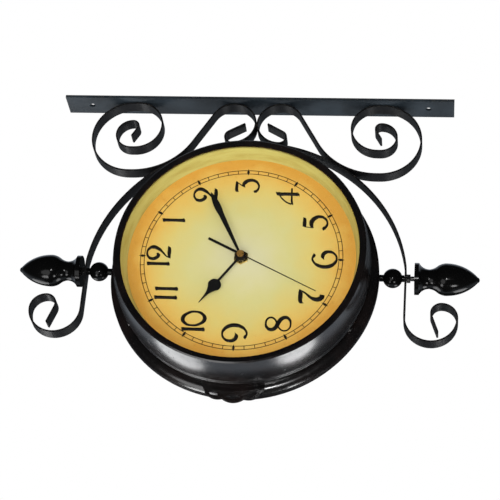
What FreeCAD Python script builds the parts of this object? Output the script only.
import FreeCAD, Part
import math
import os
import re
import Sketcher

from FreeCAD import Placement, Rotation, Vector

# Double-sided wall clock on a scrolled iron bracket, in millimetres.
# X = 0 is the wall and the clock stands out along -X. Z is up, towards 12 o'clock.
# The front dial looks along -Y and the rear dial along +Y. The pivots stand at the rear bezel's rim.

SIZES = (
    # wall bar
    ("bar_end", 22.5, "wall screw to the end of the flat bar"),
    ("bar_width", 25, "flat bar, across"),
    ("bar_thick", 2.5, "flat bar, thickness"),
    ("screw_pitch", 300, "distance between the two wall screws"),
    ("screw_hole", 2.5, "radius of a wall screw hole"),
    # flat strip of the scrolls and of the strap
    ("strip_width", 12, "strip, across"),
    ("strip_thick", 1.5, "strip, thickness"),
    ("weld_gap", 0.2, "space left at a tack weld"),
    # strap that carries the clock
    ("strap_room", 33, "band to the outside of the strap's arch"),
    ("strap_shift", 8.6, "arch centre beyond the clock's axis"),
    ("crown_gap", 40.1, "arch crown to wall bar"),
    ("seat_half", 7, "flat of the strap on the wall side of the pivot"),
    ("seat_bend", 20, "bend radius into that flat"),
    ("seat_tail", 38, "flat of the strap on the far side of the pivot"),
    ("end_curl_a", 22, "first radius of the strap's end curl"),
    ("end_curl_b", 21.5, "second radius of the end curl"),
    ("end_curl_c", 13, "third radius of the end curl"),
    ("end_hook", 8.5, "radius of the hook in the end curl"),
    ("end_hook_turn", 110, "turn of that hook in degrees"),
    ("end_tail", 15, "straight end of the end curl"),
    # scrolls between strap and wall bar
    ("scroll_a", 34.9, "outer radius of the big scroll"),
    ("scroll_b", 23.1, "second radius of the big scroll"),
    ("scroll_c", 13.7, "third radius of the big scroll"),
    ("scroll_flat", 3, "straight run at each half turn"),
    ("scroll_hook", 5, "radius of the hook in the big scroll"),
    ("scroll_hook_turn", 120, "turn of that hook in degrees"),
    ("scroll_tail", 9, "straight end of the big scroll"),
    ("scroll_lean", 30, "slope of the straight diagonal in degrees"),
    ("foot_hook", 6.2, "radius of the hook in the small scroll"),
    ("foot_hook_turn", 150, "turn of that hook in degrees"),
    ("foot_tail", 16, "straight end of the small scroll"),
    # drum
    ("opening_radius", 98.5, "clear opening of a bezel"),
    ("lip_width", 4.5, "opening edge to the bright ridge round it"),
    ("lip_drop", 1, "opening edge behind the ridge"),
    ("groove_width", 1.2, "ridge to the groove outside it"),
    ("groove_drop", 0.8, "depth of that groove"),
    ("rim_width", 5.5, "opening edge to the outside of the band"),
    ("bulge_out", 1.8, "widest part of the front bezel beyond its skirt"),
    ("step_drop", 3, "straight run behind the widest part"),
    ("rim_out", 7.8, "rim of the rear bezel beyond its skirt"),
    ("rim_rise", 3.5, "run from the rear skirt to the rim"),
    ("rim_round", 9, "curve radius from the rear skirt to the rim"),
    ("rim_land", 6.5, "straight run of the rim"),
    ("rim_back", 88, "curve radius from the rim to the rear groove"),
    ("sheet", 1.2, "sheet thickness of a bezel"),
    ("bead", 1.6, "width of the rolled edge of a bezel"),
    ("band_sheet", 1.5, "sheet thickness of the band"),
    ("band_show", 0.5, "half width of the bare band between the bezels"),
    ("flange_lap", 6.5, "band flange inside the opening's edge"),
    ("slip", 0.3, "clearance of pieces that slide together"),
    ("seat", 0.1, "clearance between stacked pieces"),
    ("glass_lap", 3, "glass beyond the opening's edge"),
    ("glass_thick", 2, "glass thickness"),
    ("glass_room", 5, "space between the hands and the glass"),
    ("dial_margin", 3.5, "edge of the dial inside the outside of the band"),
    ("dial_thick", 0.8, "dial thickness"),
    ("ring_slope", 3.5, "sloping ring, narrower at the dial"),
    ("ring_wall", 1, "wall of the sloping ring"),
    ("bezel_screw", 1.25, "radius of a bezel screw"),
    ("bezel_screw_head", 1.95, "radius of its head"),
    ("bezel_screw_rise", 1.4, "height of its head"),
    ("bezel_screw_end", 3.5, "end of a bezel screw inside the band"),
    ("free_hole", 0.15, "clearance of a hole round a fixed shank"),
    # pivots
    ("pivot_bolt", 2, "radius of a pivot bolt"),
    ("swivel_fit", 0.1, "clearance of the strap round a pivot bolt"),
    ("swivel_gap", 0.3, "end clearance of the strap at a pivot"),
    ("bolt_head", 3.5, "half width across flats of bolt heads and nuts"),
    ("bolt_head_rise", 2.8, "height of a bolt head"),
    ("bolt_reach", 17, "bolt beyond the strap"),
    ("ball_radius", 8.2, "ball spacer"),
    ("ball_run", 1.45, "ball to the end of the spacer"),
    ("neck_wall", 0.75, "wall of the spacer's necks"),
    ("lock_nut", 3, "thickness of a lock nut"),
    ("finial_base", 13.4, "radius of a finial's foot"),
    ("finial_rim", 3.6, "height of the foot's rim"),
    ("finial_neck", 8.2, "radius of the finial's neck"),
    ("finial_neck_at", 12.5, "neck above the foot"),
    ("finial_bulb", 13.5, "radius of the finial's bulb"),
    ("finial_bulb_at", 28, "bulb above the foot"),
    ("finial_length", 54, "length of a finial"),
    ("finial_nose", 2.4, "radius where the nose begins"),
    ("finial_bore_spare", 1.4, "finial's thread beyond the bolt"),
    ("lower_slack", 3.4, "lower finial backed off its nut"),
    # ornament on the side away from the wall
    ("crest_half", 25, "half length of the side ornament"),
    ("crest_shoulder", 9, "half length of its middle lobe"),
    ("crest_rise", 12, "height of its shoulders"),
    ("crest_thick", 3.4, "thickness of the ornament"),
    ("crest_stud", 1.5, "radius of its two studs"),
    ("crest_stud_at", 8, "studs from the middle"),
    ("crest_stud_in", 5, "stud inside the band"),
    ("crest_nut", 2.75, "half width across flats of a stud nut"),
    ("crest_nut_thick", 2.2, "thickness of a stud nut"),
    # quartz movement
    ("case_wall", 1.5, "side wall of the movement case"),
    ("case_plate", 1, "front plate of the movement case"),
    ("cover_back", 0.7, "half the space between the two movements"),
    ("cover_thick", 1.5, "rear cover of the movement"),
    ("cell_radius", 7, "dry cell"),
    ("cell_half", 25, "half length of the dry cell"),
    ("cell_nub", 2.6, "radius of the cell's button"),
    ("cell_nub_out", 0.6, "button beyond the cell"),
    ("cell_wall", 0.8, "wall beside the cell"),
    ("contact_thick", 0.6, "battery contact"),
    ("post_wall", 1.55, "wall of the movement's threaded post"),
    ("post_out", 1.2, "post beyond its nut"),
    ("post_nut_rim", 1.6, "post to the flats of its nut"),
    ("post_nut_thick", 2, "thickness of the post's nut"),
    ("run_fit", 0.08, "running clearance of shafts and tubes"),
    ("second_shaft", 0.6, "radius of the second hand's shaft"),
    ("tube_wall", 0.76, "wall of the minute and hour tubes"),
    ("stud_radius", 0.8, "stud of the motion wheel"),
    ("idler_stud", 0.6, "stud of the idler wheel"),
    ("arbor", 0.5, "radius of thin arbors"),
    ("pivot_depth", 0.6, "depth of a pivot hole"),
    ("wheel_thick", 0.8, "thickness of a wheel"),
    ("pinion_over", 0.3, "pinion beyond its wheel on each side"),
    ("layer_gap", 1.2, "space between two layers of wheels"),
    ("plate_gap", 0.4, "hour wheel behind the front plate"),
    ("train_distance", 12.2, "hand axis to the third wheel and to the motion wheel"),
    ("idler_distance", 10.8, "hand axis to idler wheel"),
    ("rotor_distance", 6.3, "idler wheel to rotor"),
    ("magnet_radius", 2.5, "rotor magnet"),
    ("magnet_thick", 1.3, "rotor magnet thickness"),
    ("magnet_gap", 0.6, "magnet to the idler wheel"),
    ("knob_radius", 3.4, "hand setting knob"),
    ("stator_thick", 0.8, "stator plate"),
    ("coil_radius", 4, "coil on its bobbin"),
    ("coil_length", 14, "coil, end to end"),
    ("board_thick", 1, "circuit board"),
    ("board_width", 13, "circuit board, across"),
    ("board_height", 5.5, "circuit board, upright"),
    # hands, at ten past ten
    ("hand_thick", 0.5, "thickness of a hand"),
    ("hand_step", 1.6, "distance between two hands"),
    ("hub_radius", 4.2, "hub of the hour and minute hands"),
    ("hour_length", 54, "hour hand"),
    ("hour_bulb_at", 34, "bulb of the hour hand from the hub"),
    ("hour_bulb", 5.6, "radius of that bulb"),
    ("hour_width", 2, "shaft of the hour hand"),
    ("minute_length", 66, "minute hand"),
    ("minute_leaf_at", 44, "widest part of the minute hand"),
    ("minute_leaf", 4.6, "width there"),
    ("minute_width", 2, "shaft of the minute hand"),
    ("second_length", 72, "second hand"),
    ("second_tail", 31, "tail of the second hand"),
    ("second_width", 0.9, "needle of the second hand"),
    ("tail_width", 2.2, "tail bar of the second hand"),
    ("cap_radius", 3, "cap of the second hand"),
    ("cap_rise", 1, "height of that cap"),
    ("cap_rim", 0.5, "second hand's hub beyond its cap"),
    ("hand_tip", 0.5, "width of a hand at its tip"),
    ("shown_minutes", 10.575, "minutes past the hour"),
    ("shown_hour", 10, "hour"),
)

# tooth counts of the train: rotor, idler, second, third, minute, motion work, hour
ROTOR_PINION_TEETH, IDLER_WHEEL_TEETH = 6, 36
IDLER_PINION_TEETH, SECOND_WHEEL_TEETH = 12, 60
SECOND_PINION_TEETH, THIRD_WHEEL_TEETH = 8, 60
THIRD_PINION_TEETH, MINUTE_WHEEL_TEETH = 8, 64
CANNON_PINION_TEETH, MOTION_WHEEL_TEETH = 12, 36
MOTION_PINION_TEETH, HOUR_WHEEL_TEETH = 10, 40
KNOB_PINION_TEETH = 8
# teeth: height beyond and below the pitch circle in modules, half width in pitches
TOOTH_TIP, TOOTH_ROOT = 0.85, 1.25
TIP_SHARE, ROOT_SHARE = 0.11, 0.28
# bezel screws as seen from the front
BEZEL_SCREW_ANGLES = (0, 120, 240)

doc = FreeCAD.newDocument("DoubleSidedWallClock")
sheet = doc.addObject("Spreadsheet::Sheet", "Sizes")
for row, (alias, value, meaning) in enumerate(SIZES, start=1):
    sheet.set("A%d" % row, meaning)
    sheet.set("B%d" % row, str(value))
    sheet.setAlias("B%d" % row, alias)
doc.recompute()

ALIASES = {alias for alias, value, meaning in SIZES}
nodes = []


def linked(text):
    """Return an expression with every size's name pointed at the sheet."""
    return re.sub(r"[a-z][a-z_]*", lambda m: "Sizes." + m[0] if m[0] in ALIASES else m[0], str(text))


def num(text):
    """Return the number that an expression on the sizes has now."""
    return float(sheet.evalExpression(linked(text)))


def bind(obj, **properties):
    """Tie properties of an object to expressions; a double underscore stands for a dot."""
    for name, text in properties.items():
        obj.setExpression(name.replace("__", "."), linked(text))
    return obj


def node(obj, label, placement=None):
    """Name a finished piece and set it in its place."""
    obj.Label = label
    if placement is not None:
        obj.Placement = placement
    nodes.append(obj)
    return obj




def tip_share(teeth, partner):
    """Return a wheel's tip radius as a share of its distance from the wheel that it meshes with."""
    return 2 * (teeth / 2 + TOOTH_TIP) / (teeth + partner)


# sizes that several pieces share, from the middle of the drum outwards
BAND = "(opening_radius + rim_width)"
SKIRT = "(%s + slip + sheet)" % BAND
CASE_RADIUS = "(%s + bulge_out)" % SKIRT
STRAP = "(%s + strap_room)" % BAND
REACH = "(%s - strap_shift + crown_gap + bar_thick)" % STRAP
COVER_FRONT = "(cover_back + cover_thick)"
STATOR_LOW = "(%s + slip)" % COVER_FRONT
IDLER_LOW = "(%s + magnet_thick + magnet_gap)" % STATOR_LOW
LAYER = "(wheel_thick + layer_gap)"
SECOND_LOW = "(%s + %s)" % (IDLER_LOW, LAYER)
THIRD_LOW = "(%s + 2 * %s)" % (IDLER_LOW, LAYER)
CENTRE_LOW = "(%s + 3 * %s)" % (IDLER_LOW, LAYER)
MOTION_LOW = "(%s + 4 * %s)" % (IDLER_LOW, LAYER)
HOUR_LOW = "(%s + 5 * %s)" % (IDLER_LOW, LAYER)
TRAIN_TOP = "%s + wheel_thick + plate_gap" % HOUR_LOW
PLATE_BACK = "max(%s; cover_back + 2 * cell_radius + 2 * seat)" % TRAIN_TOP
CASE_FRONT = "(%s + case_plate)" % PLATE_BACK
BAND_HALF = "(%s + seat)" % CASE_FRONT
DIAL_FRONT = "(%s + dial_thick)" % BAND_HALF
POST_TOP = "(%s + seat + post_nut_thick + post_out)" % DIAL_FRONT
HOUR_HAND = "(%s + 2 * seat)" % POST_TOP
MINUTE_HAND = "(%s + hand_step)" % HOUR_HAND
SECOND_HAND = "(%s + hand_step)" % MINUTE_HAND
GLASS_BACK = "(%s + hand_thick + cap_rise + glass_room)" % SECOND_HAND
GLASS_FRONT = "(%s + glass_thick)" % GLASS_BACK
RIDGE_DEPTH = "(%s + seat + sheet + lip_drop)" % GLASS_FRONT
MINUTE_TUBE = "(second_shaft + run_fit + tube_wall)"
HOUR_TUBE = "(second_shaft + 2 * run_fit + 2 * tube_wall)"
POST_BORE = "(second_shaft + 3 * run_fit + 2 * tube_wall)"
POST = "(%s + post_wall)" % POST_BORE
SCREW_DEPTH = "(band_show + bead + seat + bezel_screw_head)"
SCREW_EDGE = "(%s + bezel_screw_head + seat)" % SCREW_DEPTH
RIM = "(%s + rim_out)" % SKIRT
RIM_START = "(%s + rim_rise)" % SCREW_EDGE
RIM_END = "(%s + rim_land)" % RIM_START
PIVOT_BACK = "(%s + rim_land / 2)" % RIM_START
BOLT_HOLE = "(pivot_bolt + free_hole)"
NECK = "(%s + neck_wall)" % BOLT_HOLE

reach = num(REACH)
ABOUT_X = Vector(1, 0, 0)
ABOUT_Z = Vector(0, 0, 1)
CENTRE = Vector(-reach, 0, 0)
MIDDLE = Vector(-reach, -num(PIVOT_BACK), 0)
FRONT = Placement(MIDDLE, Rotation(ABOUT_X, 90))
REAR = Placement(MIDDLE, Rotation(ABOUT_Z, 180) * Rotation(ABOUT_X, 90))
FACES = (("front", FRONT), ("rear", REAR))
UP = Placement(CENTRE, Rotation())
DOWN = Placement(CENTRE, Rotation(ABOUT_X, 180))


# sketches and the bodies made from them

def arc_between(start, end, radius, turn):
    """Return the arc from start to end, with turn 1 to the left and -1 to the right."""
    middle = (start + end) * 0.5
    chord = end - start
    left = Vector(-chord.y, chord.x, 0).normalize()
    height = math.sqrt(max(radius * radius - (chord.Length / 2) ** 2, 0))
    centre = middle + left * (height * turn)
    first, last = (start, end) if turn > 0 else (end, start)
    begin = math.atan2(first.y - centre.y, first.x - centre.x)
    finish = math.atan2(last.y - centre.y, last.x - centre.x)
    return Part.ArcOfCircle(Part.Circle(centre, ABOUT_Z, radius), begin, finish)


def hold(sketch, geometry, position, axis, text):
    """Fix one coordinate of a sketch point to an expression."""
    if abs(num(text)) < 1e-9:
        line = -2 if axis == "DistanceX" else -1
        sketch.addConstraint(Sketcher.Constraint("PointOnObject", geometry, position, line))
        return
    index = sketch.addConstraint(Sketcher.Constraint(axis, -1, 1, geometry, position, num(text)))
    sketch.setExpression("Constraints[%d]" % index, linked(text))


def sketch_on(body, role, loops, circles=(), lift=None):
    """Draw closed loops of (x, y) or (x, y, radius, turn) corners, and circles, on an origin plane."""
    sketch = body.newObject("Sketcher::SketchObject", body.Name + "_outline")
    plane = [p for p in body.Origin.OriginFeatures if p.Role == role][0]
    sketch.AttachmentSupport = (plane, [""])
    sketch.MapMode = "FlatFace"
    if lift is not None:
        sketch.setExpression("AttachmentOffset.Base.z", linked(lift))
    for corners in loops:
        points = [Vector(num(c[0]), num(c[1]), 0) for c in corners]
        ends = []
        for i, corner in enumerate(corners):
            start, end = points[i], points[(i + 1) % len(points)]
            if len(corner) == 2:
                edge = sketch.addGeometry(Part.LineSegment(start, end))
                ends.append((edge, 1, 2))
                continue
            edge = sketch.addGeometry(arc_between(start, end, num(corner[2]), corner[3]))
            ends.append((edge, 1, 2) if corner[3] > 0 else (edge, 2, 1))
        for i, corner in enumerate(corners):
            edge, start_at, end_at = ends[i]
            following, follow_at, _ = ends[(i + 1) % len(ends)]
            sketch.addConstraint(Sketcher.Constraint("Coincident", edge, end_at, following, follow_at))
            hold(sketch, edge, start_at, "DistanceX", corner[0])
            hold(sketch, edge, start_at, "DistanceY", corner[1])
            if len(corner) > 2:
                index = sketch.addConstraint(Sketcher.Constraint("Radius", edge, num(corner[2])))
                sketch.setExpression("Constraints[%d]" % index, linked(corner[2]))
    for x, y, radius in circles:
        centre = Vector(num(x), num(y), 0)
        edge = sketch.addGeometry(Part.Circle(centre, ABOUT_Z, num(radius)))
        hold(sketch, edge, 3, "DistanceX", x)
        hold(sketch, edge, 3, "DistanceY", y)
        index = sketch.addConstraint(Sketcher.Constraint("Radius", edge, num(radius)))
        sketch.setExpression("Constraints[%d]" % index, linked(radius))
    return sketch


def turned(name, corners):
    """Return a body turned about its own Z from (radius, height) corners."""
    body = doc.addObject("PartDesign::Body", name)
    sketch = sketch_on(body, "XZ_Plane", [corners])
    turn = body.newObject("PartDesign::Revolution", name + "_turn")
    turn.Profile = sketch
    turn.ReferenceAxis = (sketch, ["V_Axis"])
    turn.Angle = 360
    return body


def cut_from_sheet(name, loops, thickness, circles=(), role="XY_Plane", lift=None):
    """Return a flat body with the outline and the holes of a sketch."""
    body = doc.addObject("PartDesign::Body", name)
    sketch = sketch_on(body, role, loops, circles, lift)
    pad = body.newObject("PartDesign::Pad", name + "_pad")
    pad.Profile = sketch
    bind(pad, Length=thickness)
    return body


# plain solids and booleans

def block(name, across, up, deep):
    """Return a box from three (low, high) pairs of expressions."""
    box = doc.addObject("Part::Box", name)
    pairs = zip(("Length", "Width", "Height"), "xyz", (across, up, deep))
    for side, axis, (low, high) in pairs:
        bind(box, **{side: "(%s) - (%s)" % (high, low), "Placement__Base__" + axis: low})
    return box


def rod(name, radius, low, high, across=0, up=0):
    """Return a cylinder along Z between two heights."""
    cylinder = doc.addObject("Part::Cylinder", name)
    bind(cylinder, Radius=radius, Height="(%s) - (%s)" % (high, low), Placement__Base__z=low)
    bind(cylinder, Placement__Base__x=across, Placement__Base__y=up)
    return cylinder


def hexagon(name, half_flats, low, high):
    """Return a six-sided prism along Z between two heights."""
    prism = doc.addObject("Part::Prism", name)
    prism.Polygon = 6
    bind(prism, Circumradius="(%s) / cos(30)" % half_flats)
    bind(prism, Height="(%s) - (%s)" % (high, low), Placement__Base__z=low)
    return prism


def join(name, pieces):
    """Return the union of several objects."""
    union = doc.addObject("Part::MultiFuse", name)
    union.Shapes = pieces
    return union


def group(name, pieces):
    """Return several objects as one object of separate solids."""
    compound = doc.addObject("Part::Compound", name)
    compound.Links = pieces
    return compound


def cut(name, base, tools):
    """Return an object with others taken out of it."""
    result = doc.addObject("Part::Cut", name)
    result.Base = base
    result.Tool = tools[0] if len(tools) == 1 else group(name + "_tools", tools)
    return result


def radial(name, radius, low, high, angle, height):
    """Return a cylinder that points away from Z at an angle and a height."""
    cylinder = doc.addObject("Part::Cylinder", name)
    bind(cylinder, Radius=radius, Height="(%s) - (%s)" % (high, low))
    outward = Rotation(ABOUT_Z, Vector(math.cos(math.radians(angle)), math.sin(math.radians(angle)), 0))
    cylinder.Placement = Placement(Vector(), outward)
    bind(cylinder, Placement__Base__x="(%s) * cos(%s)" % (low, angle))
    bind(cylinder, Placement__Base__y="(%s) * sin(%s)" % (low, angle), Placement__Base__z=height)
    return cylinder


# strips bent along tangent lines and arcs in the X-Z plane

def bent_edges(start, heading, moves, offset):
    """Return a path's edges moved left by offset; a move is (length,) or (radius, turn in degrees)."""
    def sideways(angle, distance):
        return Vector(-math.sin(angle) * distance, 0, math.cos(angle) * distance)

    place, angle, edges = Vector(start), math.radians(heading), []
    for move in moves:
        first = place + sideways(angle, offset)
        if len(move) == 1:
            place = place + Vector(math.cos(angle), 0, math.sin(angle)) * move[0]
            edges.append(Part.LineSegment(first, place + sideways(angle, offset)).toShape())
            continue
        radius, turn = move[0], math.radians(move[1])
        inward = math.copysign(radius, turn)
        centre = place + sideways(angle, inward)
        half = centre + sideways(angle + turn / 2, offset - inward)
        last = centre + sideways(angle + turn, offset - inward)
        edges.append(Part.Arc(first, half, last).toShape())
        place, angle = centre + sideways(angle + turn, -inward), angle + turn
    return edges


def bent_strip(start, heading, moves):
    """Return the solid of the flat strip bent along a path, on edge about Y = 0."""
    half = num("strip_thick / 2")
    left = bent_edges(start, heading, moves, half)
    right = bent_edges(start, heading, moves, -half)
    ends = [(left[i].Vertexes[i].Point, right[i].Vertexes[i].Point) for i in (0, -1)]
    caps = [Part.LineSegment(first, last).toShape() for first, last in ends]
    outline = Part.Wire(Part.sortEdges(left + right + caps)[0])
    outline.translate(Vector(0, -num("strip_width / 2"), 0))
    return Part.Face(outline).extrude(Vector(0, num("strip_width"), 0))


def shaped(shape, label, placement=None):
    """Add a piece whose shape was worked out above."""
    obj = doc.addObject("Part::Feature", label)
    obj.Shape = shape
    return node(obj, label, placement)


# wall bar with two screw holes

BAR_HALF = "(screw_pitch / 2 + bar_end)"
bar = cut_from_sheet(
    "wall_bar",
    [[("-bar_width / 2", "-" + BAR_HALF), ("bar_width / 2", "-" + BAR_HALF),
      ("bar_width / 2", BAR_HALF), ("-bar_width / 2", BAR_HALF)]],
    "bar_thick",
    circles=[(0, "screw_pitch / 2", "screw_hole"), (0, "-screw_pitch / 2", "screw_hole")],
    role="YZ_Plane",
)
bind(bar, Placement__Base__x="-bar_thick")
node(bar, "wall_bar")

# strap: an arch round the wall side of the drum, flat seats at the pivots and a curl at each end

SEAT = "(sqrt((%s - strip_thick / 2 - seat_bend) ^ 2 - (seat_half + strap_shift) ^ 2) + seat_bend)" % STRAP
STRAP_OUTER = "(%s + strip_thick / 2)" % SEAT
STRAP_INNER = "(%s - strip_thick / 2)" % SEAT
arch = num(STRAP + " - strip_thick / 2")
arch_x = -reach - num("strap_shift")
seat_bend = num("seat_bend")
arch_end = math.degrees(math.acos(num("seat_half + strap_shift") / (arch - seat_bend)))
half_strap = bent_strip(
    (arch_x + arch, 0, 0), 90,
    [(arch, arch_end), (seat_bend, 90 - arch_end), (num("seat_half + seat_tail"),),
     (num("end_curl_a"), -90), (num("end_curl_b"), -90), (num("end_curl_c"), -90),
     (num("end_hook"), -num("end_hook_turn")), (num("end_tail"),)],
)
strap = half_strap.fuse(half_strap.mirror(Vector(), ABOUT_Z)).removeSplitter()
pivot_hole, past_strap = num("pivot_bolt + swivel_fit"), 2 * num(STRAP_OUTER)
strap = strap.cut(Part.makeCylinder(pivot_hole, 2 * past_strap, Vector(-reach, 0, -past_strap)))
shaped(strap, "pivot_strap")

# scrolls: a big spiral, a diagonal and a small curl, which touch the wall bar and lean on the strap

wall_line = -num("bar_thick + strip_thick / 2")
lowest = wall_line - num("2 * scroll_a")
touch = num(STRAP + " + weld_gap + strip_thick / 2")
half_gap = num("strip_thick / 2 + weld_gap / 2")
arch_to_wall = wall_line - arch_x
foot_sum = arch_to_wall - half_gap + touch
foot = foot_sum - math.sqrt(foot_sum ** 2 - arch_to_wall ** 2 - half_gap ** 2 + touch ** 2)
foot_z = foot + half_gap
sweep_turn = math.radians(90 - num("scroll_lean"))
lean_x, lean_z = math.sin(sweep_turn), -math.cos(sweep_turn)
leave_x = wall_line - foot - foot * lean_z
leave_z = foot_z + foot * lean_x
corner_run = (leave_x - lowest) / lean_x
corner_z = leave_z - corner_run * lean_z
reach_in = lowest - arch_x
slope = math.tan(sweep_turn / 2)
linear = reach_in + slope * corner_z - touch
constant = reach_in ** 2 + corner_z ** 2 - touch ** 2
sweep = (math.sqrt(linear ** 2 - slope ** 2 * constant) - linear) / slope ** 2
diagonal = corner_run - sweep * slope
scroll_z = corner_z + sweep * slope + num("scroll_flat")
turn_degrees = math.degrees(sweep_turn)
inner_spiral = bent_strip(
    (wall_line, 0, scroll_z), 270,
    [(num("scroll_flat"),), (num("scroll_b"), -180), (num("scroll_flat"),), (num("scroll_c"), -180),
     (num("scroll_hook"), -num("scroll_hook_turn")), (num("scroll_tail"),)],
)
outer_run = bent_strip(
    (wall_line, 0, scroll_z), 90,
    [(num("scroll_a"), 180), (num("scroll_flat"),), (sweep, turn_degrees), (diagonal,),
     (foot, -turn_degrees), (foot, -180), (num("foot_hook"), -num("foot_hook_turn")), (num("foot_tail"),)],
)
scroll = inner_spiral.fuse(outer_run).removeSplitter()
shaped(scroll, "upper_scroll")
shaped(scroll.mirror(Vector(), ABOUT_Z), "lower_scroll")

# band of the drum, with holes for the pivots, the ornament's studs and the bezel screws;
# the rear flange is notched for the heads of the pivot bolts

FLANGE = "(opening_radius - flange_lap)"
BAND_INSIDE = "(%s - band_sheet)" % BAND
band_body = turned("band_ring", [
    (BAND, "-" + BAND_HALF), (BAND, BAND_HALF), (FLANGE, BAND_HALF),
    (FLANGE, BAND_HALF + " - band_sheet"), (BAND_INSIDE, BAND_HALF + " - band_sheet"),
    (BAND_INSIDE, "band_sheet - " + BAND_HALF), (FLANGE, "band_sheet - " + BAND_HALF),
    (FLANGE, "-" + BAND_HALF),
])
HEAD_TOP = "(%s - 2 * seat)" % BAND_INSIDE
HEAD_LOW = "(%s - bolt_head_rise)" % HEAD_TOP
HOLE_IN = "(%s - 3 * band_sheet)" % BAND
HOLE_OUT = "(%s + band_sheet)" % BAND
PIVOT_ANGLES = (90, 270)
band_tools = []
for angle in PIVOT_ANGLES:
    band_tools.append(radial("pivot_hole_%d" % angle, BOLT_HOLE, HOLE_IN, HOLE_OUT, angle, "-" + PIVOT_BACK))
    band_tools.append(radial("head_notch_%d" % angle, "bolt_head / cos(30) + slip", HEAD_LOW + " - slip",
                             HEAD_TOP + " + seat / 2", angle, "-" + PIVOT_BACK))
for side in (-1, 1):
    stud_hole = radial("stud_hole_%d" % side, "crest_stud + free_hole", HOLE_IN, HOLE_OUT, 180,
                       "-" + SCREW_DEPTH)
    bind(stud_hole, Placement__Base__y="%d * crest_stud_at" % side)
    band_tools.append(stud_hole)
    for angle in BEZEL_SCREW_ANGLES:
        name = "band_screw_hole_%d_%d" % (side, angle)
        band_tools.append(radial(name, "bezel_screw + free_hole", HOLE_IN, HOLE_OUT, angle,
                                 "%d * %s" % (side, SCREW_DEPTH)))
node(cut("case_band", band_body, band_tools), "case_band", FRONT)

# bezels: lip, ridge, groove and a skirt with a rolled edge that slips over the band;
# the front one bulges a little, and the rear one spreads to the rim that the pivots pass through

RIDGE = "(opening_radius + lip_width)"
GROOVE = "(%s + groove_width)" % RIDGE
GROOVE_DEPTH = "(%s - groove_drop)" % RIDGE_DEPTH
STEP = "(%s + sheet)" % SCREW_EDGE
BULGE_DEPTH = "(%s + step_drop)" % STEP
BULGE_R = "(%s - %s)" % (CASE_RADIUS, GROOVE)
BULGE_D = "(%s - %s)" % (GROOVE_DEPTH, BULGE_DEPTH)
BULGE_ARC = "((%s ^ 2 + %s ^ 2) / (2 * %s))" % (BULGE_R, BULGE_D, BULGE_R)
SHRINK = "((%s - sheet) / %s)" % (BULGE_ARC, BULGE_ARC)
BULGE_CENTRE = "(%s - %s)" % (CASE_RADIUS, BULGE_ARC)
LIP_DEPTH = "(%s - lip_drop)" % RIDGE_DEPTH
BEZEL_INSIDE = "(%s + slip)" % BAND
lip_corners = [("opening_radius", LIP_DEPTH), (RIDGE, RIDGE_DEPTH)]
skirt_corners = [
    (SKIRT, SCREW_EDGE),
    (SKIRT, "band_show + bead", "0.55 * bead", -1),
    (SKIRT, "band_show"),
    (BEZEL_INSIDE, "band_show"),
]
front_profile = lip_corners + [
    (GROOVE, GROOVE_DEPTH, BULGE_ARC, -1),
    (CASE_RADIUS, BULGE_DEPTH),
    (CASE_RADIUS, STEP),
] + skirt_corners + [
    (BEZEL_INSIDE, STEP + " - 0.5 * sheet"),
    (CASE_RADIUS + " - sheet", STEP + " + 0.5 * sheet"),
    (CASE_RADIUS + " - sheet", BULGE_DEPTH, BULGE_ARC + " - sheet", 1),
    ("%s + (%s - %s) * %s" % (BULGE_CENTRE, GROOVE, BULGE_CENTRE, SHRINK),
     "%s + %s * %s" % (BULGE_DEPTH, BULGE_D, SHRINK)),
    ("opening_radius", LIP_DEPTH + " - sheet"),
]
rear_profile = lip_corners + [
    (GROOVE, GROOVE_DEPTH, "rim_back", -1),
    (RIM, RIM_END),
    (RIM, RIM_START, "rim_round", -1),
] + skirt_corners + [
    (BEZEL_INSIDE, SCREW_EDGE + " + 0.8 * sheet", "rim_round", 1),
    (RIM + " - sheet", RIM_START + " + 0.6 * sheet"),
    (RIM + " - sheet", RIM_END + " - 0.25 * sheet", "rim_back", 1),
    (GROOVE + " - 0.9 * sheet", GROOVE_DEPTH + " - 0.45 * sheet"),
    ("opening_radius", LIP_DEPTH + " - sheet"),
]
rear_holes = [radial("rear_rim_hole_%d" % angle, NECK + " + slip", BAND, RIM + " + bead", angle, PIVOT_BACK)
              for angle in PIVOT_ANGLES]
for side in (-1, 1):
    stud_hole = radial("rear_stud_hole_%d" % side, "crest_stud + free_hole", HOLE_IN, HOLE_OUT + " + bead", 0,
                       SCREW_DEPTH)
    bind(stud_hole, Placement__Base__y="%d * crest_stud_at" % side)
    rear_holes.append(stud_hole)
screws = []
SCREW_IN = "(%s - bezel_screw_end)" % BAND
SCREW_SEAT = "(%s + seat)" % SKIRT
BEZELS = (("front", FRONT, front_profile, [], 0, 1), ("rear", REAR, rear_profile, rear_holes, 180, -1))
for side, place, profile, holes, turn, sense in BEZELS:
    ring = turned(side + "_bezel_ring", profile)
    for seen in BEZEL_SCREW_ANGLES:
        angle = turn + sense * seen
        name = "%s_screw_%d" % (side, seen)
        holes.append(radial(name + "_hole", "bezel_screw + free_hole", BAND, HOLE_OUT + " + bead", angle,
                            SCREW_DEPTH))
        shank = radial(name + "_shank", "bezel_screw", SCREW_IN, SCREW_SEAT + " + seat",
                       angle, SCREW_DEPTH)
        head = radial(name + "_head", "bezel_screw_head", SCREW_SEAT, SCREW_SEAT + " + bezel_screw_rise",
                      angle, SCREW_DEPTH)
        screw = join(name, [shank, head])
        screw.Placement = place
        screws.append(screw)
    node(cut(side + "_bezel", ring, holes), side + "_bezel", place)
node(group("bezel_screws", screws), "bezel_screws")

# glass, sloping ring and dial of each face

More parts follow.
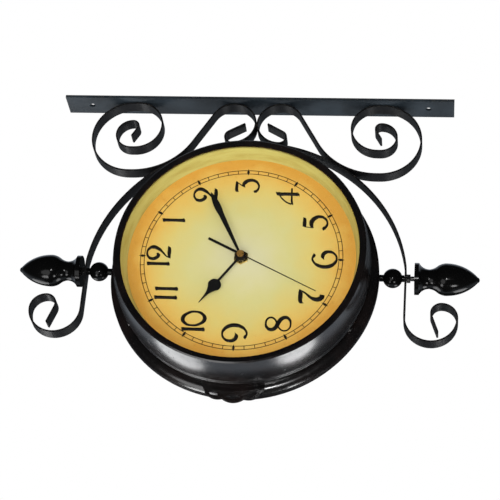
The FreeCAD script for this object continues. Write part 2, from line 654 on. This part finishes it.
GLASS = "(opening_radius + glass_lap)"
DIAL_SHOW = "(opening_radius - ring_slope)"
for side, place in FACES:
    glass = turned(side + "_glass", [
        (0, GLASS_BACK), (GLASS, GLASS_BACK), (GLASS, GLASS_FRONT), (0, GLASS_FRONT)])
    node(glass, side + "_glass", place)
    slope_ring = turned(side + "_dial_ring", [
        (DIAL_SHOW, DIAL_FRONT + " + seat / 2"), (DIAL_SHOW + " + ring_wall", DIAL_FRONT + " + seat / 2"),
        ("opening_radius + slip + ring_wall", GLASS_BACK + " - seat"),
        ("opening_radius + slip", GLASS_BACK + " - seat")])
    node(slope_ring, side + "_dial_ring", place)
    dial = turned(side + "_dial", [
        (POST + " + slip", BAND_HALF), (BAND + " - dial_margin", BAND_HALF),
        (BAND + " - dial_margin", DIAL_FRONT), (POST + " + slip", DIAL_FRONT)])
    node(dial, side + "_dial", place)

# pivots at top and bottom: bolt, ball spacer, lock nut and finial

BOLT_END = "(%s + bolt_reach)" % STRAP_OUTER
SPACER_END = "(%s - swivel_gap)" % STRAP_INNER
NUT_FOOT = "(%s + swivel_gap)" % STRAP_OUTER
NUT_TOP = NUT_FOOT + " + lock_nut"
SPACER_FOOT = "(%s + seat)" % BAND
BALL = "(%s - ball_run - ball_radius)" % SPACER_END
BALL_END = "sqrt(ball_radius ^ 2 - %s ^ 2)" % NECK
BORE_END = "(%s + finial_bore_spare)" % BOLT_END
bolts, spacers, nuts = [], [], []
for side, place, slack in (("upper", UP, "seat"), ("lower", DOWN, "lower_slack")):
    head = hexagon(side + "_bolt_head", "bolt_head", HEAD_LOW, HEAD_TOP)
    shank = rod(side + "_bolt_shank", "pivot_bolt", HEAD_TOP + " - seat", BOLT_END)
    bolt = join(side + "_bolt", [head, shank])
    bolt.Placement = place
    bolts.append(bolt)
    spacer = turned(side + "_spacer", [
        (BOLT_HOLE, SPACER_FOOT), (NECK, SPACER_FOOT), (NECK, BALL + " - " + BALL_END, "ball_radius", 1),
        (NECK, BALL + " + " + BALL_END), (NECK, SPACER_END), (BOLT_HOLE, SPACER_END)])
    spacer.Placement = place
    spacers.append(spacer)
    blank = hexagon(side + "_nut_blank", "bolt_head", NUT_FOOT, NUT_TOP)
    hole = rod(side + "_nut_hole", BOLT_HOLE, NUT_FOOT + " - seat", NUT_TOP + " + seat")
    nut = cut(side + "_nut", blank, [hole])
    nut.Placement = place
    nuts.append(nut)
    base = "(%s + %s)" % (NUT_TOP, slack)
    finial = turned(side + "_finial", [
        (BOLT_HOLE, base), ("finial_base", base),
        ("finial_base", base + " + finial_rim", "1.1 * (finial_neck_at - finial_rim)", -1),
        ("finial_neck", base + " + finial_neck_at", "0.8 * (finial_bulb_at - finial_neck_at)", -1),
        ("finial_neck + 0.45 * (finial_bulb - finial_neck)",
         base + " + finial_neck_at + 0.38 * (finial_bulb_at - finial_neck_at)", "0.95 * finial_bulb", 1),
        ("finial_bulb", base + " + finial_bulb_at", "2.6 * finial_bulb", 1),
        ("finial_nose", base + " + finial_length - 0.7 * finial_nose", "1.49 / 1.4 * finial_nose", 1),
        (0, base + " + finial_length"), (0, BORE_END), (BOLT_HOLE, BORE_END)])
    node(finial, side + "_finial", place)
node(group("pivot_bolts", bolts), "pivot_bolts")
node(group("ball_spacers", spacers), "ball_spacers")
node(group("lock_nuts", nuts), "lock_nuts")

# openwork ornament on the rear bezel's skirt at the far side, held by two studs with nuts

CREST_FOOT = "(%s + seat)" % SKIRT
CREST_END = "sqrt(%s ^ 2 - crest_half ^ 2)" % CREST_FOOT
CREST_TOP = CREST_FOOT + " + crest_rise"
crest_outline = [
    ("-crest_half", CREST_END, CREST_FOOT, -1),
    ("crest_half", CREST_END, "0.8 * (crest_half - crest_shoulder)", 1),
    ("crest_shoulder", CREST_TOP, "1.6 * crest_shoulder", 1),
    ("-crest_shoulder", CREST_TOP, "0.8 * (crest_half - crest_shoulder)", 1),
]


def lens(middle, height, half, tilt):
    """Return an almond-shaped opening as two arcs."""
    left = ("%s - %s" % (middle, half), "%s + %s - %s" % (CREST_FOOT, height, tilt))
    right = ("%s + %s" % (middle, half), "%s + %s + %s" % (CREST_FOOT, height, tilt))
    radius = "1.45 * %s" % half
    return [left + (radius, 1), right + (radius, 1)]


crest_plate = cut_from_sheet("crest_plate", [
    crest_outline,
    lens("0", "0.9 * crest_rise", "0.6 * crest_shoulder", "0"),
    lens("-0.64 * crest_half", "0.68 * crest_rise", "0.16 * crest_half", "0.17 * crest_rise"),
    lens("0.64 * crest_half", "0.68 * crest_rise", "0.16 * crest_half", "-0.17 * crest_rise"),
], "crest_thick", lift="-crest_thick / 2")
STUD_END = "(%s - crest_stud_in)" % BAND_INSIDE
NUT_SEAT = "(sqrt(%s ^ 2 - (crest_stud_at + crest_nut / cos(30)) ^ 2) - seat)" % BAND_INSIDE
crest_studs, crest_nuts = [], []
ON_SKIRT = MIDDLE + Vector(0, num(SCREW_DEPTH), 0)
AWAY = Placement(ON_SKIRT, Rotation(Vector(0, 0, 1), Vector(-1, 0, 0), Vector(0, -1, 0), "XYZ"))
for side in (-1, 1):
    stud = radial("crest_stud_%d" % side, "crest_stud", STUD_END, CREST_FOOT + " + 0.2 * crest_rise", 90, 0)
    bind(stud, Placement__Base__x="%d * crest_stud_at" % side)
    crest_studs.append(stud)
    blank = hexagon("crest_nut_blank_%d" % side, "crest_nut", NUT_SEAT + " - crest_nut_thick", NUT_SEAT)
    hole = rod("crest_nut_hole_%d" % side, "crest_stud + free_hole", STUD_END, BAND)
    nut = cut("crest_nut_%d" % side, blank, [hole])
    offset = Vector(side * num("crest_stud_at"), 0, 0)
    nut.Placement = AWAY * Placement(offset, Rotation(ABOUT_X, -90))
    crest_nuts.append(nut)
node(join("side_crest", [crest_plate] + crest_studs), "side_crest", AWAY)
node(group("crest_nuts", crest_nuts), "crest_nuts")


# quartz movements: case, cover, dry cell and its contacts, coil, stator and board

KNOB_SHARE = (MOTION_WHEEL_TEETH + KNOB_PINION_TEETH) / (MOTION_WHEEL_TEETH + CANNON_PINION_TEETH)
KNOB_X = "(train_distance * %.9f)" % (1 + KNOB_SHARE)
KNOB_TIP = "train_distance * %.9f" % (KNOB_SHARE * tip_share(KNOB_PINION_TEETH, MOTION_WHEEL_TEETH))
IDLER_TIP = "rotor_distance * %.9f" % tip_share(IDLER_WHEEL_TEETH, ROTOR_PINION_TEETH)
THIRD_TIP = "train_distance * %.9f" % tip_share(THIRD_WHEEL_TEETH, SECOND_PINION_TEETH)
MINUTE_TIP = "train_distance * %.9f" % tip_share(MINUTE_WHEEL_TEETH, THIRD_PINION_TEETH)
ROTOR_X = "(-idler_distance - rotor_distance)"
CELL_END = "(cell_half + cell_nub_out + seat)"
COIL_LOW = "(magnet_radius + 2 * slip)"
STATOR_TOP = "(%s + coil_length + slip)" % COIL_LOW
COIL_SIDE = "idler_distance + %s + 2 * slip + 2 * coil_radius" % IDLER_TIP
CASE_SIDE = ("max(%s + contact_thick + seat; %s + %s + slip; %s)"
             % (CELL_END, KNOB_X, KNOB_TIP, COIL_SIDE))
CASE_TOP = "max(train_distance + %s + slip; %s + board_height + 2 * slip)" % (THIRD_TIP, STATOR_TOP)
BAY_TOP = "(-%s - slip - cell_wall)" % MINUTE_TIP
CASE_LOW = "(%s - 2 * cell_radius - 2 * seat)" % BAY_TOP
CELL_UP = "(%s - seat - cell_radius)" % BAY_TOP
CELL_DEEP = "(%s - seat - cell_radius)" % PLATE_BACK
OUTSIDE = (("-%s - case_wall" % CASE_SIDE, CASE_SIDE + " + case_wall"),
           (CASE_LOW + " - case_wall", CASE_TOP + " + case_wall"))
INSIDE = (("-" + CASE_SIDE, CASE_SIDE), (CASE_LOW, CASE_TOP))


def movement_case(side):
    """Return the front half of a movement: box, cell wall, threaded post and stud."""
    shell = block(side + "_case_block", *OUTSIDE, (COVER_FRONT, CASE_FRONT))
    room = block(side + "_case_room", *INSIDE, (COVER_FRONT + " - seat", PLATE_BACK))
    wall = block(side + "_cell_wall", INSIDE[0], (BAY_TOP, BAY_TOP + " + cell_wall"),
                 (COVER_FRONT, PLATE_BACK))
    post = rod(side + "_post", POST, CASE_FRONT + " - case_plate / 2", POST_TOP)
    stud = rod(side + "_motion_stud", "stud_radius", MOTION_LOW + " - pinion_over", CASE_FRONT,
               "train_distance")
    solid = join(side + "_case_solid", [cut(side + "_case_shell", shell, [room]), wall, post, stud])
    holes = [
        rod(side + "_post_bore", POST_BORE, PLATE_BACK + " - seat", POST_TOP + " + seat"),
        rod(side + "_third_hole", "arbor + run_fit", PLATE_BACK + " - seat", PLATE_BACK + " + pivot_depth",
            0, "train_distance"),
        rod(side + "_knob_hole", "arbor + run_fit", PLATE_BACK + " - seat", PLATE_BACK + " + pivot_depth",
            KNOB_X),
    ]
    return cut(side + "_movement_case", solid, holes)


def movement_cover(side):
    """Return the rear cover: plate with a cell window, a knob hole, pivot holes and the idler's stud."""
    plate = block(side + "_cover_plate", *OUTSIDE, ("cover_back", COVER_FRONT + " - seat"))
    stud = rod(side + "_idler_stud", "idler_stud", "cover_back", SECOND_LOW + " + wheel_thick + pinion_over",
               "-idler_distance")
    low = COVER_FRONT + " - pivot_depth"
    high = COVER_FRONT + " + seat"
    holes = [
        block(side + "_cell_window", INSIDE[0], (CASE_LOW, BAY_TOP), ("0", high)),
        rod(side + "_knob_window", "knob_radius + slip", "0", high, KNOB_X),
        rod(side + "_second_hole", "second_shaft + run_fit", low, high),
        rod(side + "_third_foot", "arbor + run_fit", low, high, 0, "train_distance"),
        rod(side + "_rotor_hole", "arbor + run_fit", low, high, ROTOR_X),
    ]
    return cut(side + "_movement_cover", join(side + "_cover_solid", [plate, stud]), holes)


def lying(cylinder, turn, **place):
    """Lay a cylinder along another axis."""
    cylinder.Placement = Placement(Vector(), turn)
    return bind(cylinder, **place)


def dry_cell(side):
    """Return the round cell with its button."""
    along = Rotation(Vector(0, 1, 0), 90)
    can = lying(rod(side + "_cell_can", "cell_radius", "-cell_half", "cell_half"), along,
                Placement__Base__x="-cell_half", Placement__Base__y=CELL_UP, Placement__Base__z=CELL_DEEP)
    nub = lying(rod(side + "_cell_nub", "cell_nub", 0, "cell_half + cell_nub_out"), along,
                Placement__Base__x=0, Placement__Base__y=CELL_UP, Placement__Base__z=CELL_DEEP)
    return join(side + "_battery", [can, nub])


def contacts(side):
    """Return the two contact plates at the ends of the cell."""
    up = ("%s - cell_nub" % CELL_UP, "%s + cell_nub" % CELL_UP)
    deep = ("%s - cell_nub" % CELL_DEEP, "%s + cell_nub" % CELL_DEEP)
    plus = block(side + "_contact_plus", (CELL_END, CELL_END + " + contact_thick"), up, deep)
    minus = block(side + "_contact_minus", ("-cell_half - seat - contact_thick", "-cell_half - seat"),
                  up, deep)
    return group(side + "_battery_contacts", [plus, minus])


def stator(side):
    """Return the stator plate with the hole that the rotor turns in."""
    plate = block(side + "_stator_plate", ("slip - " + CASE_SIDE, ROTOR_X + " + magnet_radius + 2 * slip"),
                  ("-2 * magnet_radius", STATOR_TOP), (STATOR_LOW, STATOR_LOW + " + stator_thick"))
    hole = rod(side + "_stator_hole", "magnet_radius + slip", "0", PLATE_BACK, ROTOR_X)
    return cut(side + "_stator", plate, [hole])


def coil(side):
    """Return the wound coil, which lies on the stator."""
    bobbin = rod(side + "_coil_winding", "coil_radius", 0, "coil_length")
    lying(bobbin, Rotation(ABOUT_X, -90), Placement__Base__x="slip - %s + coil_radius" % CASE_SIDE,
          Placement__Base__y=COIL_LOW, Placement__Base__z=STATOR_LOW + " + stator_thick + seat + coil_radius")
    return group(side + "_coil", [bobbin])


def board(side):
    """Return the circuit board above the stator."""
    foot = STATOR_TOP + " + slip"
    plate = block(side + "_board_plate", ("slip - " + CASE_SIDE, "slip - %s + board_width" % CASE_SIDE),
                  (foot, foot + " + board_height"), (STATOR_LOW, STATOR_LOW + " + board_thick"))
    return group(side + "_circuit_board", [plate])


def post_nut(side):
    """Return the six-sided nut that holds the movement on the dial."""
    low, high = DIAL_FRONT + " + seat", DIAL_FRONT + " + seat + post_nut_thick"
    blank = hexagon(side + "_post_nut_blank", POST + " + post_nut_rim", low, high)
    hole = rod(side + "_post_nut_hole", POST + " + run_fit", DIAL_FRONT, high + " + seat")
    return cut(side + "_post_nut", blank, [hole])


STATIC = (("movement_case", movement_case), ("movement_cover", movement_cover), ("battery", dry_cell),
          ("battery_contacts", contacts), ("stator", stator), ("coil", coil), ("circuit_board", board),
          ("post_nut", post_nut))
for side, place in FACES:
    for name, make in STATIC:
        node(make(side), "%s_%s" % (side, name), place)


# wheels of the movements

def toothed(teeth, module, low, high, tooth_at, across=0.0, up=0.0):
    """Return a straight-flanked toothed disc with one tooth centred on an angle in degrees."""
    pitch = 2 * math.pi / teeth
    tip, root = module * (teeth / 2 + TOOTH_TIP), module * (teeth / 2 - TOOTH_ROOT)
    corners = []
    for tooth in range(teeth):
        middle = math.radians(tooth_at) + tooth * pitch
        for radius, share in ((root, -ROOT_SHARE), (tip, -TIP_SHARE), (tip, TIP_SHARE), (root, ROOT_SHARE)):
            angle = middle + share * pitch
            corners.append(Vector(across + radius * math.cos(angle), up + radius * math.sin(angle), low))
    outline = Part.makePolygon(corners + corners[:1])
    return Part.Face(outline).extrude(Vector(0, 0, high - low))


def bar_of(radius, low, high, across=0.0, up=0.0):
    """Return a round bar along Z."""
    return Part.makeCylinder(radius, high - low, Vector(across, up, low))


def one_solid(pieces, bores=()):
    """Return the union of shapes with round bores taken out."""
    solid = pieces[0].fuse(pieces[1:]) if len(pieces) > 1 else pieces[0]
    for bore in bores:
        solid = solid.cut(bore)
    return solid.removeSplitter()


plate_back = num(PLATE_BACK)
cover_front = num(COVER_FRONT)
wheel_thick, over, fit = num("wheel_thick"), num("pinion_over"), num("run_fit")


def layer(low):
    """Return the back and front of the wheel that stands in a layer."""
    return num(low), num(low) + wheel_thick


third_y = motion_x = num("train_distance")
idler_x, rotor_x, knob_x = -num("idler_distance"), num(ROTOR_X), num(KNOB_X)
train_module = 2 * third_y / (SECOND_PINION_TEETH + THIRD_WHEEL_TEETH)
drive_module = 2 * third_y / (THIRD_PINION_TEETH + MINUTE_WHEEL_TEETH)
motion_module = 2 * motion_x / (CANNON_PINION_TEETH + MOTION_WHEEL_TEETH)
hour_module = 2 * motion_x / (MOTION_PINION_TEETH + HOUR_WHEEL_TEETH)
idler_module = 2 * num("idler_distance") / (IDLER_PINION_TEETH + SECOND_WHEEL_TEETH)
rotor_module = 2 * num("rotor_distance") / (ROTOR_PINION_TEETH + IDLER_WHEEL_TEETH)
shaft, arbor = num("second_shaft"), num("arbor")
minute_tube, hour_tube = num(MINUTE_TUBE), num(HOUR_TUBE)
hour_low, hour_high = layer(HOUR_LOW)
motion_low, motion_high = layer(MOTION_LOW)
centre_low, centre_high = layer(CENTRE_LOW)
third_low, third_high = layer(THIRD_LOW)
second_low, second_high = layer(SECOND_LOW)
idler_low, idler_high = layer(IDLER_LOW)
hole_floor = cover_front - num("pivot_depth - seat")
hole_roof = plate_back + num("pivot_depth - seat")
hand_thick, hand_seat = num("hand_thick"), num("seat")
hour_hand, minute_hand, second_hand = num(HOUR_HAND), num(MINUTE_HAND), num(SECOND_HAND)
RIGHT, TOP, LEFT, BOTTOM = 0, 90, 180, 270


def gap_at(direction, teeth):
    """Return where a tooth stands when a gap faces a direction."""
    return direction + 180 / teeth


def second_wheel():
    """Return the second hand's shaft with its wheel and its pinion."""
    return one_solid([
        bar_of(shaft, hole_floor, second_hand + hand_thick + hand_seat),
        toothed(SECOND_WHEEL_TEETH, idler_module, second_low, second_high, gap_at(LEFT, SECOND_WHEEL_TEETH)),
        toothed(SECOND_PINION_TEETH, train_module, third_low - over, third_high + over, TOP)])


def third_wheel():
    """Return the third wheel with its pinion on an arbor."""
    return one_solid([
        bar_of(arbor, hole_floor, hole_roof, 0, third_y),
        toothed(THIRD_WHEEL_TEETH, train_module, third_low, third_high,
                gap_at(BOTTOM, THIRD_WHEEL_TEETH), 0, third_y),
        toothed(THIRD_PINION_TEETH, drive_module, third_high, centre_high + over, BOTTOM, 0, third_y)])


def minute_wheel():
    """Return the minute tube with its wheel and the cannon pinion."""
    return one_solid([
        bar_of(minute_tube, centre_low - over, minute_hand + hand_thick + hand_seat),
        toothed(MINUTE_WHEEL_TEETH, drive_module, centre_low, centre_high, gap_at(TOP, MINUTE_WHEEL_TEETH)),
        toothed(CANNON_PINION_TEETH, motion_module, motion_low - over, motion_high + over, RIGHT)],
        [bar_of(shaft + fit, 0, second_hand)])


def motion_wheel():
    """Return the motion wheel and its pinion, which turn on the case's stud."""
    return one_solid([
        toothed(MOTION_WHEEL_TEETH, motion_module, motion_low, motion_high,
                gap_at(LEFT, MOTION_WHEEL_TEETH), motion_x),
        toothed(MOTION_PINION_TEETH, hour_module, motion_high, hour_high + hand_seat, LEFT, motion_x)],
        [bar_of(num("stud_radius") + fit, 0, second_hand, motion_x)])


def hour_wheel():
    """Return the hour tube with its wheel."""
    return one_solid([
        bar_of(hour_tube, hour_low, hour_hand + hand_thick + hand_seat),
        toothed(HOUR_WHEEL_TEETH, hour_module, hour_low, hour_high, gap_at(RIGHT, HOUR_WHEEL_TEETH))],
        [bar_of(minute_tube + fit, 0, second_hand)])


def idler_wheel():
    """Return the idler wheel and its pinion, which turn on the cover's stud."""
    return one_solid([
        toothed(IDLER_WHEEL_TEETH, rotor_module, idler_low, idler_high,
                gap_at(LEFT, IDLER_WHEEL_TEETH), idler_x),
        toothed(IDLER_PINION_TEETH, idler_module, idler_high, second_high + over, RIGHT, idler_x)],
        [bar_of(num("idler_stud") + fit, 0, second_hand, idler_x)])


def rotor():
    """Return the rotor: magnet, pinion and pivot."""
    magnet_low = num(STATOR_LOW)
    return one_solid([
        bar_of(arbor, hole_floor, idler_high + over, rotor_x),
        bar_of(num("magnet_radius"), magnet_low, magnet_low + num("magnet_thick"), rotor_x),
        toothed(ROTOR_PINION_TEETH, rotor_module, idler_low - over / 2, idler_high + over, RIGHT, rotor_x)])


def set_knob():
    """Return the hand setting knob with its shaft and pinion."""
    back = num("cover_back")
    return one_solid([
        bar_of(num("knob_radius"), back, cover_front, knob_x),
        bar_of(2 * arbor, back, motion_high, knob_x),
        bar_of(arbor, back, hole_roof, knob_x),
        toothed(KNOB_PINION_TEETH, motion_module, motion_low - over, motion_high + over, LEFT, knob_x)])


TRAIN = (("second_wheel", second_wheel), ("third_wheel", third_wheel), ("minute_wheel", minute_wheel),
         ("motion_wheel", motion_wheel), ("hour_wheel", hour_wheel), ("idler_wheel", idler_wheel),
         ("rotor", rotor), ("set_knob", set_knob))
for side, place in FACES:
    for name, make in TRAIN:
        shaped(make(), "%s_%s" % (side, name), place)


# hands, each drawn pointing at 12 and then turned to the hour that the clock shows

BULB_IN = "(hour_bulb_at - sqrt(hour_bulb ^ 2 - (hour_width / 2) ^ 2))"
hour_outline = [
    ("-hour_width / 2", BULB_IN), ("-hour_width / 2", "sqrt(hub_radius ^ 2 - (hour_width / 2) ^ 2)",
                                   "1.001 * hub_radius", 1),
    (0, "-hub_radius", "1.001 * hub_radius", 1),
    ("hour_width / 2", "sqrt(hub_radius ^ 2 - (hour_width / 2) ^ 2)"),
    ("hour_width / 2", BULB_IN, "1.001 * hour_bulb", 1),
    ("0.94 * hour_bulb", "hour_bulb_at + 0.34 * hour_bulb", "3 * hour_bulb", -1),
    ("hour_width / 2", "hour_bulb_at + 2 * hour_bulb"),
    ("hand_tip / 2", "hour_length"), ("-hand_tip / 2", "hour_length"),
    ("-hour_width / 2", "hour_bulb_at + 2 * hour_bulb", "3 * hour_bulb", -1),
    ("-0.94 * hour_bulb", "hour_bulb_at + 0.34 * hour_bulb", "1.001 * hour_bulb", 1),
]
minute_outline = [
    ("-minute_width / 2", "sqrt(hub_radius ^ 2 - (minute_width / 2) ^ 2)", "1.001 * hub_radius", 1),
    (0, "-hub_radius", "1.001 * hub_radius", 1),
    ("minute_width / 2", "sqrt(hub_radius ^ 2 - (minute_width / 2) ^ 2)"),
    ("minute_leaf / 2", "minute_leaf_at", "2 * (minute_length - minute_leaf_at)", 1),
    ("hand_tip / 2", "minute_length"),
    ("-hand_tip / 2", "minute_length", "2 * (minute_length - minute_leaf_at)", 1),
    ("-minute_leaf / 2", "minute_leaf_at"),
]
SECOND_HUB = "(cap_radius + cap_rim)"
NEEDLE_FOOT = "sqrt(%s ^ 2 - (second_width / 2) ^ 2)" % SECOND_HUB
TAIL_FOOT = "sqrt(%s ^ 2 - (tail_width / 2) ^ 2)" % SECOND_HUB
second_outline = [
    ("-second_width / 2", NEEDLE_FOOT, SECOND_HUB, 1),
    ("-tail_width / 2", "-" + TAIL_FOOT),
    ("-tail_width / 2", "-second_tail"), ("tail_width / 2", "-second_tail"),
    ("tail_width / 2", "-" + TAIL_FOOT, SECOND_HUB, 1),
    ("second_width / 2", NEEDLE_FOOT),
    ("hand_tip / 2", "second_length"), ("-hand_tip / 2", "second_length"),
]
shown_minutes = num("shown_minutes")
HANDS = (
    ("hour_hand", hour_outline, HOUR_TUBE, HOUR_HAND, 30 * num("shown_hour") + shown_minutes / 2),
    ("minute_hand", minute_outline, MINUTE_TUBE, MINUTE_HAND, 6 * shown_minutes),
    ("second_hand", second_outline, "second_shaft", SECOND_HAND, 360 * (shown_minutes % 1)),
)
for side, place in FACES:
    for name, outline, tube, height, angle in HANDS:
        label = "%s_%s" % (side, name)
        hand = cut_from_sheet(label + "_blade", [outline], "hand_thick", [(0, 0, tube + " + run_fit / 4")],
                              lift=height)
        pieces = [hand]
        if name == "second_hand":
            cap = rod(label + "_cap", "cap_radius", height + " + hand_thick / 2",
                      height + " + hand_thick + cap_rise")
            bore = rod(label + "_bore", "second_shaft + run_fit / 4", height,
                       height + " + hand_thick + 1.5 * seat")
            pieces = [hand, cut(label + "_cap_bored", cap, [bore])]
        turned_to = place * Placement(Vector(), Rotation(ABOUT_Z, -angle))
        node(join(label, pieces) if len(pieces) > 1 else hand, label, turned_to)

# check every object, then write each piece to its own file

doc.recompute()
faulty = [o.Label for o in doc.Objects if "Invalid" in o.State or "Error" in o.State]
if faulty:
    raise RuntimeError("objects that did not recompute: " + ", ".join(faulty))
for piece in nodes:
    if piece.Shape.isNull() or not piece.Shape.isValid() or not piece.Shape.Solids:
        raise RuntimeError("no valid solid in " + piece.Label)

os.makedirs("parts", exist_ok=True)
for piece in nodes:
    piece.Shape.exportStep("parts/%s.step" % piece.Label)
print("%d pieces, wall to clock axis %.2f, strap face %.2f, scroll centre %.2f, sweep %.2f"
      % (len(nodes), reach, num(STRAP_OUTER), scroll_z, sweep))
